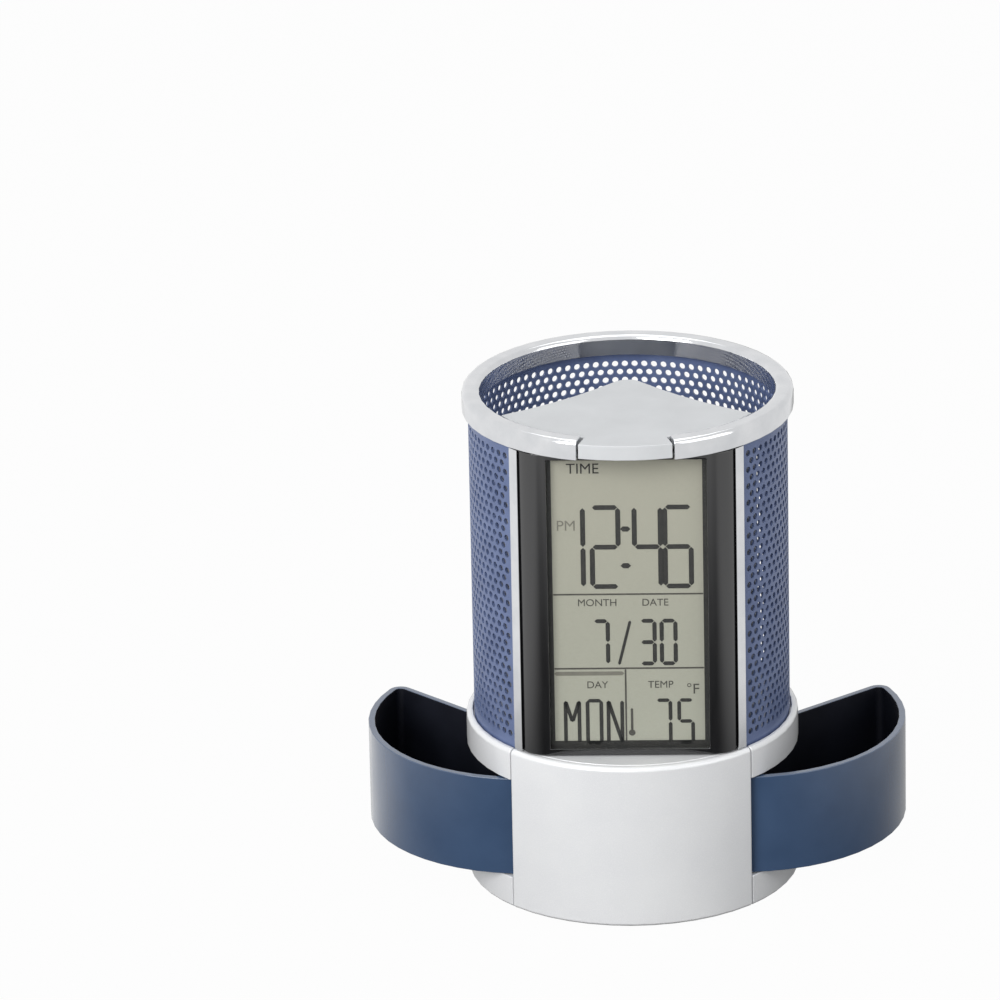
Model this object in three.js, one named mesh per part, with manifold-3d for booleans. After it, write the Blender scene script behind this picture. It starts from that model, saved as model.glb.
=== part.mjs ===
// Digital clock pen holder: a mesh pen cup on a drum base with two swing-out drawers, and an LCD clock let
// into the front of the cup. Millimetres, +Z up, the clock faces -Y, and the origin is on the table under
// the drum's axis. The drawers are drawn swung open.
import * as THREE from "three";
import { mergeVertices } from "three/addons/utils/BufferGeometryUtils.js";
import Module from "manifold-3d";

const wasm = await Module();
wasm.setup();

// Driving sizes: the drum and the cup
const cupRadius = 38.6; // outside of the mesh sleeve
const cupHeight = 83; // deck to the top of the ring
const meshGauge = 0.8;
const baseLedge = 1.9; // the base stands out this far round the mesh
const footLift = 1; // the feet hold the base off the table
const plinthHeight = 7.8; // lower silver band
const bayHeight = 25.6; // clear height of the drawer bays
const deckHeight = 8.1; // upper silver band
const plateThickness = 2.2; // plinth and deck plates
const shellWall = 1.8; // moulded walls of the base
const edgeRadius = 1.2; // rounded upper edge of the base
const edgeChamfer = 0.6; // lower edge of the base
const apronGap = 0.2; // between the apron's back and the mesh
const fit = 0.3; // gap between pieces that seat on each other

// Driving angles, in degrees; half angles are counted from the front of the drum
const apronAngle = 46; // half angle of the front apron
const seamAngle = 0.25; // half of the gap at each edge of the apron
const bezelAngle = 43.3; // half angle of the clock's bezel
const shoulderAngle = 70; // the bezel's sides turn back through this angle
const trimAngle = 0.9; // thickness of a trim strip's web
const trimLipAngle = 0.4; // the strip's lip goes on over the mesh
const trimWrapAngle = 14; // its other lip follows the bezel's shoulder through this angle
const tabAngle = 16.3; // half angle of the snooze key's tab
const plateAngle = 59.2; // where the snooze key's plate leaves the ring
const leftOpenAngle = 46.4; // how far each drawer is swung out, short of its stop
const rightOpenAngle = 49.2;

// Ring and trim
const ringHeight = 5.1;
const ringOutside = 1.4; // the ring stands out past the mesh
const ringInside = 2.4; // and reaches in past it
const ringRound = 1.3;
const meshSeat = 1.3; // depth of the grooves that hold the mesh's edges
const meshColumns = 17; // openings round the mesh
const meshRows = 7; // and up it
const meshOpenShare = 0.64; // open share of the mesh, each way
const notchGap = 0.5; // between the ring's ends and the key's tab
const trimProud = 0.6; // thickness of a strip's lip
const trimTip = 0.2; // least thickness of the lip on the bezel
const trimDepth = 1.9; // a strip's web reaches in past the mesh's face

// Drawers
const drawerInset = 0.4; // the drawer's face lies this far inside the drum
const drawerGap = 0.8; // between a drawer and the core
const drawerWall = 1.6;
const drawerFloor = 1.6;
const drawerBarrel = 4; // round front corner that turns on the pin
const drawerRound = 3; // the two other corners
const hollowRound = 1.2; // least corner radius inside
const pinRadius = 1.5;
const pinEmbed = 3.4; // the pin runs this far into the plinth and the deck

// Core between the drawers, with the battery bay
const coreWidth = 13;
const coreWall = 1.2;
const corePost = 6; // posts that carry the deck
const cellDiameter = 10.5;
const cellLength = 44.5;
const cellNib = 1; // the positive nib is part of that length
const cellLift = 3.4; // underside of the cell above the table
const contactRoom = 2.6; // at each end of the cell
const contactGauge = 0.5;

// Setting keys, in a column at the back of the core
const keyCount = 4;
const keyWidth = 6.4;
const keyGap = 0.7; // between the rims of two keys
const keyRound = 0.8;
const keyFlange = 0.8; // thickness of the rim behind the wall
const keyFlangeLap = 0.6; // the rim is larger than the cap by this much all round
const keyBayDepth = 14.2;
const stemRadius = 0.9; // of every key
const stemEntry = 0.5; // a stem starts this far inside its switch
const switchWidth = 4.4;
const switchDepth = 2.8;

// Ribbon cable
const cableWidth = 6;
const cableGauge = 0.5;
const cableHang = 6; // length down the key board
const cableRise = 1.2; // above the drawer bays
const cableSetback = 8; // it comes up through the deck this far behind the clock's board
const cableClimb = 14; // and goes this far up the board

// Underside
const coverThickness = 2;
const doorThickness = 1.2;
const doorLap = 1; // the door is larger than the battery bay by this much all round
const gripPitch = 2;
const gripCount = 3;
const footRadius = 5;
const footInset = 11; // foot centre from the drum's edge
const footSink = 0.8; // each foot sits in a pocket this deep
const footChamfer = 0.5;
const screwShank = 1.2;
const screwHead = 2.4;
const screwHeadHeight = 0.8;
const screwInset = 5; // screw centre from the plinth's wall

// Clock
const bezelWall = 2;
const shoulderRadius = 7.2; // rounded sides of the bezel
const windowLip = 0.6; // flat bezel beside the window
const windowRail = 1.6; // bezel below and above it
const lensThickness = 1.2;
const lensLap = 0.9; // the lens goes this far behind the bezel
const lcdThickness = 2.2;
const lcdLap = 0.7;
const lcdLedge = 2.9; // the rear glass is shorter by this much at each end
const spacerThickness = 1.6;
const spacerRim = 4;
const stripHeight = 1.4;
const stripInset = 2.6; // ends of the contact strips from the window's sides
const boardThickness = 1.4;
const postRadius = 1.9; // posts that carry the board
const earRadius = 2.4;
const postInset = 8; // post centres from the window's ends
const boardShank = 0.75;
const boardHead = 1.5;
const boardScrewLength = 4.4;
const chipRadius = 5;
const buzzerRadius = 8;
const buzzerDepth = 4;
const crystalLength = 10;
const crystalWidth = 4;
const sensorWidth = 3;

// Clock housing and snooze key
const housingWall = 1.6;
const housingApex = 6.2; // the prow reaches this far behind the drum's axis
const apexRadius = 4;
const flankHollow = 1.5; // how far the prow's flanks are drawn in
const flankAngle = 11.1; // the housing follows the mesh over this angle, in degrees
const keyPlate = 2;
const snoozeDrop = 0.8; // top of the key below the top of the ring
const tabLip = 2.4; // thickness of the tab's front lip
const guideRadius = 1.5;
const guideSpread = 16; // guide posts from the middle
const guideSetback = 4; // and behind the housing's corners
const guideLength = 6;
const snoozeSwitchSize = 6;
const snoozeSwitchHeight = 4.4;

// Facets, in degrees or sides
const facet = 7.5; // on the drum and on large arcs
const cornerFacet = 30; // on small corners
const roundSides = 24; // on barrels and the cell
const smallSides = 16; // on pins and bosses
const screwSides = 10; // on screws and their holes
const flankFacets = 5; // along each flank of the prow

// Levels and radii that follow
const DEG = Math.PI / 180;
const baseRadius = cupRadius + baseLedge;
const plinthTop = footLift + plinthHeight;
const bayTop = plinthTop + bayHeight;
const deckTop = bayTop + deckHeight;
const deckUnder = deckTop - plateThickness;
const ringTop = deckTop + cupHeight;
const ringBottom = ringTop - ringHeight;
const ringRadius = cupRadius + ringOutside;
const meshBore = cupRadius - meshGauge;
const ringBore = meshBore - ringInside;
const apronBack = cupRadius + apronGap;
const shellBore = apronBack - fit - shellWall;
const drawerRadius = baseRadius - drawerInset;
const coverTop = footLift + coverThickness;
const clockBottom = deckTop + fit;
const clockTop = ringBottom - fit;
const fitAngle = fit / (cupRadius * DEG);
const webAngle = bezelAngle + fitAngle + trimAngle; // where a trim strip's web ends
const meshAngle = webAngle + fitAngle; // and the mesh begins

// The barrel of a drawer lies against the drum's face and clears the back of the apron's edge
const pivotRadius = drawerRadius - drawerBarrel;
const barrelLimit = apronBack - 2 * fit;
const barrelSquares = pivotRadius ** 2 + barrelLimit ** 2 - drawerBarrel ** 2;
const pivotAngle = apronAngle + Math.acos(barrelSquares / (2 * pivotRadius * barrelLimit)) / DEG;

// The core runs from the apron's ribs to the back of the drum
const coreFront = -Math.sqrt((shellBore - fit) ** 2 - (coreWidth / 2) ** 2);
const keyBayFront = baseRadius - keyBayDepth;
const keyBayBack = Math.sqrt(baseRadius ** 2 - (coreWidth / 2) ** 2) - coreWall;
const cableStart = keyBayFront + fit + cableGauge;
const keyBoardFront = cableStart + cableGauge / 2 + fit;
const keyBoardBack = keyBoardFront + boardThickness;
const switchBack = keyBoardBack + switchDepth;
const keyPitch = (bayHeight - 2 * coreWall - 4 * fit) / keyCount;
const keyHeight = keyPitch - 2 * keyFlangeLap - keyGap;
const cellBayWidth = cellDiameter + fit;
const cellBayLength = cellLength + 2 * contactRoom;
const cellMiddle = (coreFront + keyBayFront) / 2;
const cellAxis = cellLift + cellDiameter / 2;

// The bezel's ends lie on the face of the cup, and its rounded sides lead from there to its flat front
const bezelEnd = -cupRadius * Math.cos(bezelAngle * DEG);
const bezelAcross = cupRadius * Math.sin(bezelAngle * DEG);
const shoulderDepth = bezelEnd + shoulderRadius * Math.cos(shoulderAngle * DEG); // centres of those sides
const shoulderAcross = bezelAcross - shoulderRadius * Math.sin(shoulderAngle * DEG);
const bezelFront = shoulderDepth - shoulderRadius;

// Depths of the clock's layers, from the lens to the back of the board
const lensFront = bezelFront + bezelWall / 2;
const lensBack = lensFront + lensThickness;
const lcdFront = lensBack + fit;
const lcdBack = lcdFront + lcdThickness;
const spacerFront = lcdBack + fit;
const spacerBack = spacerFront + spacerThickness;
const boardFront = spacerBack + fit;
const boardBack = boardFront + boardThickness;
const windowWidth = 2 * (shoulderAcross - windowLip);
const windowBottom = clockBottom + windowRail;
const windowTop = clockTop - windowRail;
const windowMiddle = (windowBottom + windowTop) / 2;
const windowHeight = windowTop - windowBottom;
const postAcross = windowWidth / 2 + lcdLap + fit + postRadius;
const cableSlotMiddle = boardBack + cableSetback;

// The housing stands just inside the mesh, from the trim strips back
const housingRadius = meshBore - 2 * fit;
const housingFrom = meshAngle + fitAngle;
const housingTo = housingFrom + flankAngle;
const trimBack = -(cupRadius - trimDepth) * Math.cos(webAngle * DEG);
const housingFront = Math.max(boardBack, trimBack) + fit;

// Helpers for outlines

// A point of the plan at an angle from the front, turning towards +X
function onDrum(radius, angle) {
  return new THREE.Vector2(radius * Math.sin(angle * DEG), -radius * Math.cos(angle * DEG));
}

// Points of an arc, with angles from +X towards +Y
function arc(centre, radius, from, to, step = facet) {
  const count = Math.max(1, Math.ceil(Math.abs(to - from) / step - 1e-6));
  return Array.from({ length: count + 1 }, (_, i) => {
    const angle = (from + ((to - from) * i) / count) * DEG;
    return new THREE.Vector2(centre.x + radius * Math.cos(angle), centre.y + radius * Math.sin(angle));
  });
}

// Points of an arc about the drum's axis, with angles from the front
function drumArc(radius, from, to) {
  return arc(new THREE.Vector2(0, 0), radius, from - 90, to - 90);
}

// A rectangle with round corners, about the origin
function roundedRectangle(width, height, radius) {
  const [x, y] = [width / 2 - radius, height / 2 - radius];
  const corner = (cx, cy, from) => arc(new THREE.Vector2(cx, cy), radius, from, from + 90, cornerFacet);
  return [...corner(x, -y, -90), ...corner(x, y, 0), ...corner(-x, y, 90), ...corner(-x, -y, 180)];
}

// Helpers for solids

// A closed geometry as a solid for joining and cutting
function solid(geometry) {
  const loose = geometry.index ? geometry.toNonIndexed() : geometry;
  const bare = new THREE.BufferGeometry().setAttribute("position", loose.getAttribute("position"));
  const merged = mergeVertices(bare, 1e-4);
  const corners = merged.index.array;
  const kept = [];
  for (let i = 0; i < corners.length; i += 3) {
    const [a, b, c] = corners.slice(i, i + 3);
    if (a !== b && b !== c && c !== a) kept.push(a, b, c);
  }
  return new wasm.Manifold(
    new wasm.Mesh({
      numProp: 3,
      vertProperties: new Float32Array(merged.getAttribute("position").array),
      triVerts: new Uint32Array(kept),
    }),
  );
}

function extrude(outline, depth) {
  return new THREE.ExtrudeGeometry(new THREE.Shape(outline), { depth, bevelEnabled: false });
}

// A plan outline raised from one level to another
function prism(outline, bottom, top) {
  return solid(extrude(outline, top - bottom).translate(0, 0, bottom));
}

// A front elevation outline of x and z pairs, taken back from one depth to another
function elevation(outline, front, back) {
  return solid(extrude(outline, back - front).rotateX(Math.PI / 2).translate(0, back, 0));
}

// A side elevation outline of y and z pairs, as wide as given and centred on the middle plane
function sideElevation(outline, width) {
  const upright = extrude(outline, width).rotateX(Math.PI / 2);
  return solid(upright.rotateZ(Math.PI / 2).translate(-width / 2, 0, 0));
}

// A profile of radius and height pairs, turned about the vertical axis
function revolve(profile, segments = 360 / facet) {
  const points = profile.map(([radius, height]) => new THREE.Vector2(radius, height));
  return solid(new THREE.LatheGeometry(points, segments).rotateX(Math.PI / 2));
}

// A sector of a ring about the drum's axis
function sector(inner, outer, from, to, bottom, top) {
  return prism([...drumArc(outer, from, to), ...drumArc(inner, to, from)], bottom, top);
}

// A box between two corners
function box(low, high) {
  const [dx, dy, dz] = high.map((value, i) => value - low[i]);
  const geometry = new THREE.BoxGeometry(dx, dy, dz);
  return solid(geometry.translate(low[0] + dx / 2, low[1] + dy / 2, low[2] + dz / 2));
}

// A box centred on the middle plane, between two depths and two levels
function slab(width, front, back, bottom, top) {
  return box([-width / 2, front, bottom], [width / 2, back, top]);
}

// An upright rod between two levels
function rod(radius, bottom, top, at = { x: 0, y: 0 }, sides = smallSides) {
  const geometry = new THREE.CylinderGeometry(radius, radius, top - bottom, sides).rotateX(Math.PI / 2);
  return solid(geometry.translate(at.x, at.y, (bottom + top) / 2));
}

// A rod along Y between two depths
function crossRod(radius, front, back, x = 0, z = 0, sides = smallSides) {
  const geometry = new THREE.CylinderGeometry(radius, radius, back - front, sides);
  return solid(geometry.translate(x, (front + back) / 2, z));
}

const join = (...solids) => solids.reduce((all, one) => all.add(one));
const cut = (body, ...tools) => tools.reduce((left, tool) => left.subtract(tool), body);
const onBothSides = (make) => [1, -1].map(make);

// A named mesh of one solid, moved to its place
function piece(name, body, material, x = 0, y = 0, z = 0) {
  const made = body.getMesh();
  const geometry = new THREE.BufferGeometry();
  geometry.setAttribute("position", new THREE.BufferAttribute(made.vertProperties, made.numProp));
  geometry.setIndex(new THREE.BufferAttribute(made.triVerts, 1));
  const mesh = new THREE.Mesh(geometry.toNonIndexed(), material);
  mesh.geometry.computeVertexNormals();
  mesh.name = name;
  mesh.position.set(x, y, z);
  return mesh;
}

// Materials

function finish(color, roughness, metalness = 0) {
  return new THREE.MeshStandardMaterial({ color, roughness, metalness });
}
const silverPlastic = finish(0xd8dadc, 0.42);
const greyPlastic = finish(0xcfd1d3, 0.5);
const whitePlastic = finish(0xe4e4e0, 0.5);
const bluePlastic = finish(0x43597a, 0.35);
const keyPlastic = finish(0x3a3d42, 0.55);
const blueMesh = finish(0x4a5f86, 0.45, 0.4);
const chrome = finish(0xe6e8ea, 0.08, 1);
const steel = finish(0xb9bcc0, 0.25, 1);
const brass = finish(0xc9a64a, 0.3, 1);
const blackGloss = finish(0x141517, 0.12);
const blackEpoxy = finish(0x18181a, 0.5);
const blackRubber = finish(0x1a1a1a, 0.85);
const boardGreen = finish(0x1f5a3a, 0.5);
const cellJacket = finish(0x2e6b4f, 0.35);
const lcdGlass = finish(0xb4b39f, 0.25);
const clear = finish(0xf4f6f6, 0.05);
clear.transparent = true;
clear.opacity = 0.2;

// Base

// The rounded upper edge of the base, as profile points from the side to the top
function upperEdge() {
  const centre = new THREE.Vector2(baseRadius - edgeRadius, deckTop - edgeRadius);
  return arc(centre, edgeRadius, 0, 90, cornerFacet).map((p) => [p.x, p.y]);
}

// The space that the front apron takes from the plinth and the deck
function apronRecess() {
  const half = apronAngle + seamAngle;
  return sector(apronBack - fit, baseRadius + fit, -half, half, 0, deckTop + fit);
}

// The plinth: a shallow shell whose plate is the floor of the drawer bays
function plinth() {
  const underPlate = plinthTop - plateThickness;
  const shell = revolve([
    [0, underPlate],
    [shellBore, underPlate],
    [shellBore, footLift],
    [baseRadius - edgeChamfer, footLift],
    [baseRadius, footLift + edgeChamfer],
    [baseRadius, plinthTop],
    [0, plinthTop],
  ]);
  const holeFoot = plinthTop - pinEmbed;
  const bosses = onBothSides((side) => rod(pinRadius + shellWall, holeFoot - fit, plinthTop, pivotOf(side)));
  const holes = onBothSides((side) => rod(pinRadius + fit, holeFoot, plinthTop + fit, pivotOf(side)));
  const screwBosses = screwPlaces().map((at) => rod(screwHead, coverTop + fit, plinthTop - fit, at));
  const screwHoles = screwPlaces().map((at) => screwHole(screwShank, coverTop, plinthTop - 2 * fit, at));
  const cellHole = cellBay(fit, footLift, plinthTop + fit);
  return cut(join(shell, ...bosses, ...screwBosses), ...holes, ...screwHoles, cellHole, apronRecess());
}

// The deck: a cap over the bays, which is the floor of the cup and holds the mesh's lower edge
function deck() {
  const shell = revolve([
    [0, deckUnder],
    [shellBore, deckUnder],
    [shellBore, bayTop],
    [baseRadius, bayTop],
    ...upperEdge(),
    [0, deckTop],
  ]);
  const bosses = onBothSides((side) => rod(pinRadius + shellWall, bayTop, deckTop - fit, pivotOf(side)));
  const holeTop = bayTop + pinEmbed + fit;
  const holes = onBothSides((side) => rod(pinRadius + fit, bayTop - fit, holeTop, pivotOf(side)));
  const halfSlot = cableGauge + fit;
  const cableSlot = slab(
    cableWidth + 2 * fit,
    cableSlotMiddle - halfSlot,
    cableSlotMiddle + halfSlot,
    deckUnder - fit,
    deckTop + fit,
  );
  const groove = meshGroove(deckTop - meshSeat, deckTop + fit);
  return cut(join(shell, ...bosses), ...holes, cableSlot, groove, apronRecess());
}

// A groove for an edge of the mesh, between two levels
function meshGroove(bottom, top) {
  const from = meshAngle - fitAngle;
  return sector(meshBore - fit, cupRadius + fit, from, 360 - from, bottom, top);
}

// The front apron: a plain curved panel over the whole height of the base, with two ribs along its back
function apron() {
  const shell = revolve([
    [apronBack, footLift],
    [baseRadius - edgeChamfer, footLift],
    [baseRadius, footLift + edgeChamfer],
    ...upperEdge(),
    [apronBack, deckTop],
    [apronBack, footLift],
  ]);
  const half = apronAngle - seamAngle;
  const slice = prism([new THREE.Vector2(0, 0), ...drumArc(2 * baseRadius, -half, half)], 0, ringTop);
  const ribInner = shellBore + fit;
  const ribs = [plinthTop + fit, bayTop - fit - shellWall].map((level) =>
    sector(ribInner, apronBack + fit, -half / 2, half / 2, level, level + shellWall),
  );
  return join(shell.intersect(slice), ...ribs);
}

// Drawers

// The pin of a drawer, in plan: side is 1 on the right and -1 on the left
function pivotOf(side) {
  return onDrum(pivotRadius, side * pivotAngle);
}

// The plan of the right drawer when it is shut, drawn in from its outside by a margin
function drawerOutline(margin) {
  const pivot = pivotOf(1);
  const inner = coreWidth / 2 + drawerGap + margin;
  const front = pivot.y - drawerBarrel + margin;
  const outer = drawerRadius - margin;
  const round = Math.max(drawerRound - margin, hollowRound);
  const tipX = inner + round;
  const tip = new THREE.Vector2(tipX, Math.sqrt((outer - round) ** 2 - tipX ** 2));
  const tipAngle = Math.atan2(tip.y, tip.x) / DEG;
  const heel = new THREE.Vector2(inner + round, front + round);
  return [
    ...arc(pivot, drawerBarrel - margin, -90, pivotAngle - 90, cornerFacet / 2),
    ...drumArc(outer, pivotAngle, tipAngle + 90).slice(1),
    ...arc(tip, round, tipAngle, 180, cornerFacet / 2).slice(1),
    ...arc(heel, round, 180, 270, cornerFacet / 2),
  ];
}

// A drawer is a tray with a barrel in its front corner, drawn about its pin
function drawer(side) {
  const [bottom, top] = [plinthTop + fit, bayTop - fit];
  const pivot = pivotOf(1);
  const barrel = rod(drawerBarrel, bottom, top, pivot, roundSides);
  const hollow = cut(prism(drawerOutline(drawerWall), bottom + drawerFloor, top + fit), barrel);
  const bore = rod(pinRadius + fit, bottom - fit, top + fit, pivot);
  const tray = cut(prism(drawerOutline(0), bottom, top), hollow, bore).translate([-pivot.x, -pivot.y, 0]);
  return side > 0 ? tray : tray.mirror([1, 0, 0]);
}

// A drawer's group turns about its pin, and stands open by an angle
function drawerGroup(side, name, open) {
  const group = new THREE.Group();
  const pivot = pivotOf(side);
  group.position.set(pivot.x, pivot.y, 0);
  group.rotation.z = -side * open * DEG;
  group.add(piece(name, drawer(side), bluePlastic));
  return group;
}

function pivotPin(side, name) {
  const at = pivotOf(side);
  return piece(name, rod(pinRadius, plinthTop - pinEmbed + fit, bayTop + pinEmbed), steel, at.x, at.y);
}

// Core, battery and setting keys

// The battery bay's rectangle, grown by a margin, between two levels
function cellBay(margin, bottom, top) {
  const half = cellBayLength / 2 + margin;
  return slab(cellBayWidth + 2 * margin, cellMiddle - half, cellMiddle + half, bottom, top);
}

// The height of a setting key's middle
function keyLevel(index) {
  return (plinthTop + bayTop) / 2 + (index - (keyCount - 1) / 2) * keyPitch;
}

function eachKey(make) {
  return Array.from({ length: keyCount }, (_, i) => make(keyLevel(i), i));
}

// The core: a narrow wall between the drawers, hollow for the cell and for the setting keys
function core() {
  const [bottom, top] = [plinthTop + fit, bayTop - fit];
  const half = coreWidth / 2;
  const rear = Math.asin(half / baseRadius) / DEG;
  const outline = [
    new THREE.Vector2(-half, coreFront),
    new THREE.Vector2(half, coreFront),
    ...drumArc(baseRadius, 180 - rear, 180 + rear),
  ];
  const body = prism(outline, bottom, top);
  const posts = [coreFront + corePost, keyBayFront - corePost].map((y) =>
    slab(coreWidth, y - corePost / 2, y + corePost / 2, top - fit, deckUnder - fit),
  );
  const cellEnds = [-1, 1].map((end) => cellMiddle + (end * cellBayLength) / 2);
  const cradle = join(
    crossRod(cellBayWidth / 2, ...cellEnds, 0, cellAxis, roundSides),
    cellBay(0, bottom - fit, cellAxis),
  );
  const keyBay = slab(coreWidth - 2 * coreWall, keyBayFront, keyBayBack, bottom - fit, top - coreWall);
  const keyHoles = eachKey((level) =>
    slab(
      keyWidth + 2 * fit,
      keyBayBack - fit,
      baseRadius + fit,
      level - keyHeight / 2 - fit,
      level + keyHeight / 2 + fit,
    ),
  );
  const cableRoom = cableWidth + 2 * fit;
  const cableHole = slab(cableRoom, keyBayFront, keyBoardFront, top - 2 * coreWall, top + fit);
  const cableRun = slab(cableRoom, -baseRadius, baseRadius, top, deckTop);
  return cut(join(body, ...posts), cradle, keyBay, cableHole, cableRun, ...keyHoles);
}

// The cell lies along Y with its nib to the back
function cell() {
  const half = cellLength / 2;
  const jacket = crossRod(cellDiameter / 2, -half, half - cellNib, 0, 0, roundSides);
  const nib = crossRod(0.18 * cellDiameter, half - cellNib - fit, half);
  return piece("battery_cell", join(jacket, nib), cellJacket, 0, cellMiddle, cellAxis);
}

// A contact plate at an end of the battery bay, with a round nose towards the cell: end is 1 at the back
function contact(name, end) {
  const [halfWidth, halfHeight] = [0.3 * cellDiameter, 0.37 * cellDiameter];
  const plate = box([-halfWidth, -contactGauge, -halfHeight], [halfWidth, 0, halfHeight]);
  const nose = crossRod(0.2 * cellDiameter, -contactRoom + 2 * fit, -contactGauge / 2);
  const body = join(plate, nose);
  const wall = cellMiddle + end * (cellBayLength / 2 - fit);
  return piece(name, end > 0 ? body : body.mirror([0, 1, 0]), brass, 0, wall, cellAxis);
}

// The key board stands in the key bay, with a column of switches that take the keys' stems
function keyBoard() {
  const board = slab(
    coreWidth - 2 * coreWall - 2 * fit,
    keyBoardFront,
    keyBoardBack,
    plinthTop + 2 * fit,
    bayTop - coreWall - 2 * fit,
  );
  const half = switchWidth / 2;
  const switches = eachKey((level) =>
    cut(
      slab(switchWidth, keyBoardBack - fit, switchBack, level - half, level + half),
      crossRod(stemRadius + fit, keyBoardBack + fit, switchBack + fit, 0, level),
    ),
  );
  return piece("key_board", join(board, ...switches), boardGreen);
}

// A setting key: a cap in the rear wall, a rim behind the wall and a stem to its switch
function settingKey(name, level) {
  const rimBack = keyBayBack - fit;
  const rimFront = rimBack - keyFlange;
  const lap = 2 * keyFlangeLap;
  const cap = elevation(roundedRectangle(keyWidth, keyHeight, keyRound), rimBack - fit, baseRadius);
  const rim = elevation(roundedRectangle(keyWidth + lap, keyHeight + lap, keyRound), rimFront, rimBack);
  const stem = crossRod(stemRadius, switchBack - stemEntry, rimFront + fit);
  return piece(name, join(cap, rim, stem), keyPlastic, 0, 0, level);
}

// A flat cable from the key board along the core, up through the deck and on to the clock's board
function cable() {
  const landing = boardBack + fit + cableGauge;
  const path = [
    new THREE.Vector2(cableStart, bayTop - cableHang),
    new THREE.Vector2(cableStart, bayTop + cableRise),
    new THREE.Vector2(cableSlotMiddle, bayTop + cableRise),
    new THREE.Vector2(cableSlotMiddle, deckTop + cableClimb / 4),
    new THREE.Vector2(landing, deckTop + cableClimb / 2),
    new THREE.Vector2(landing, deckTop + cableClimb),
  ];
  const directions = path.slice(1).map((p, i) => p.clone().sub(path[i]).normalize());
  const side = (sign) =>
    path.map((p, i) => {
      const before = directions[Math.max(i - 1, 0)];
      const after = directions[Math.min(i, directions.length - 1)];
      const normal = new THREE.Vector2(-before.y, before.x);
      const mitre = new THREE.Vector2(-before.y - after.y, before.x + after.x).normalize();
      return p.clone().addScaledVector(mitre, (sign * cableGauge) / (2 * mitre.dot(normal)));
    });
  return piece("ribbon_cable", sideElevation([...side(1), ...side(-1).reverse()], cableWidth), whitePlastic);
}

// Underside

// Screws of the bottom cover, in plan
function screwPlaces() {
  return [60, 120, -120, -60].map((angle) => onDrum(shellBore - screwInset, angle));
}

// The clear hole for a screw's shank or head, between two levels
function screwHole(radius, bottom, top, at) {
  return rod(radius + fit, bottom, top, at, screwSides);
}

function footPlaces() {
  return [35, 145, -145, -35].map((angle) => onDrum(baseRadius - footInset, angle));
}

// The bottom cover: a disc inside the plinth's wall, with a rebated battery opening and foot pockets
function bottomCover() {
  const disc = rod(shellBore - fit, footLift, coverTop, undefined, 360 / facet);
  const below = footLift - fit;
  const pocketTop = footLift + footSink;
  const pockets = footPlaces().map((at) => rod(footRadius + fit, below, pocketTop, at, roundSides));
  const holes = screwPlaces().map((at) => screwHole(screwShank, below, coverTop + fit, at));
  const headTop = footLift + screwHeadHeight + fit;
  const heads = screwPlaces().map((at) => screwHole(screwHead, below, headTop, at));
  const rebate = cellBay(doorLap, below, footLift + doorThickness + fit);
  return cut(disc, ...pockets, ...holes, ...heads, rebate, cellBay(0, below, coverTop + fit));
}

// The battery door: a plate in the cover's rebate, with grip grooves across its front end
function batteryDoor() {
  const plate = cellBay(doorLap - fit, footLift, footLift + doorThickness);
  const front = cellMiddle - cellBayLength / 2;
  const grips = Array.from({ length: gripCount }, (_, i) => {
    const y = front + (i + 1) * gripPitch;
    return slab(0.6 * cellBayWidth, y, y + gripPitch / 2, 0, footLift + doorThickness / 3);
  });
  return piece("battery_door", cut(plate, ...grips), silverPlastic);
}

function foot(name, at) {
  const top = footLift + footSink - fit;
  const profile = [
    [0, 0],
    [footRadius - footChamfer, 0],
    [footRadius, footChamfer],
    [footRadius, top],
    [0, top],
  ];
  return piece(name, revolve(profile, roundSides), blackRubber, at.x, at.y);
}

// A cross-slotted screw with its head on the origin and its shank along +Z
function screw(shank, head, headHeight, length) {
  const edge = headHeight / 3;
  const body = revolve(
    [
      [0, 0],
      [head - edge, 0],
      [head, edge],
      [head, headHeight],
      [shank, headHeight],
      [shank, length - shank],
      [0, length],
    ],
    screwSides,
  );
  const [long, short] = [0.6 * head, 0.13 * head];
  const depth = headHeight / 2;
  const slot = box([-long, -short, -depth], [long, short, depth]);
  return cut(body, slot, slot.rotate([0, 0, 90]));
}

// Cup

// The bars of the mesh between two ends, as pairs of edges: one more than the openings between them
function meshBars(from, to, openings) {
  const pitch = (to - from) / (openings + 1 - meshOpenShare);
  const edges = (i) => [from + i * pitch, from + (i + 1 - meshOpenShare) * pitch];
  return Array.from({ length: openings + 1 }, (_, i) => edges(i));
}

// The mesh sleeve: hoops and uprights rolled round the back of the cup, from one trim strip to the other
function meshSleeve() {
  const seated = meshSeat - fit;
  const [bottom, top] = [deckTop - seated, ringBottom + seated];
  const columns = meshBars(meshAngle, 360 - meshAngle, meshColumns);
  const plan = (angles) => [
    ...angles.map((angle) => onDrum(cupRadius, angle)),
    ...angles.toReversed().map((angle) => onDrum(meshBore, angle)),
  ];
  const uprights = columns.map((edges) => prism(plan(edges), bottom, top));
  const hoops = meshBars(bottom, top, meshRows).map((levels) => prism(plan(columns.flat()), ...levels));
  return join(...hoops, ...uprights);
}

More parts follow.
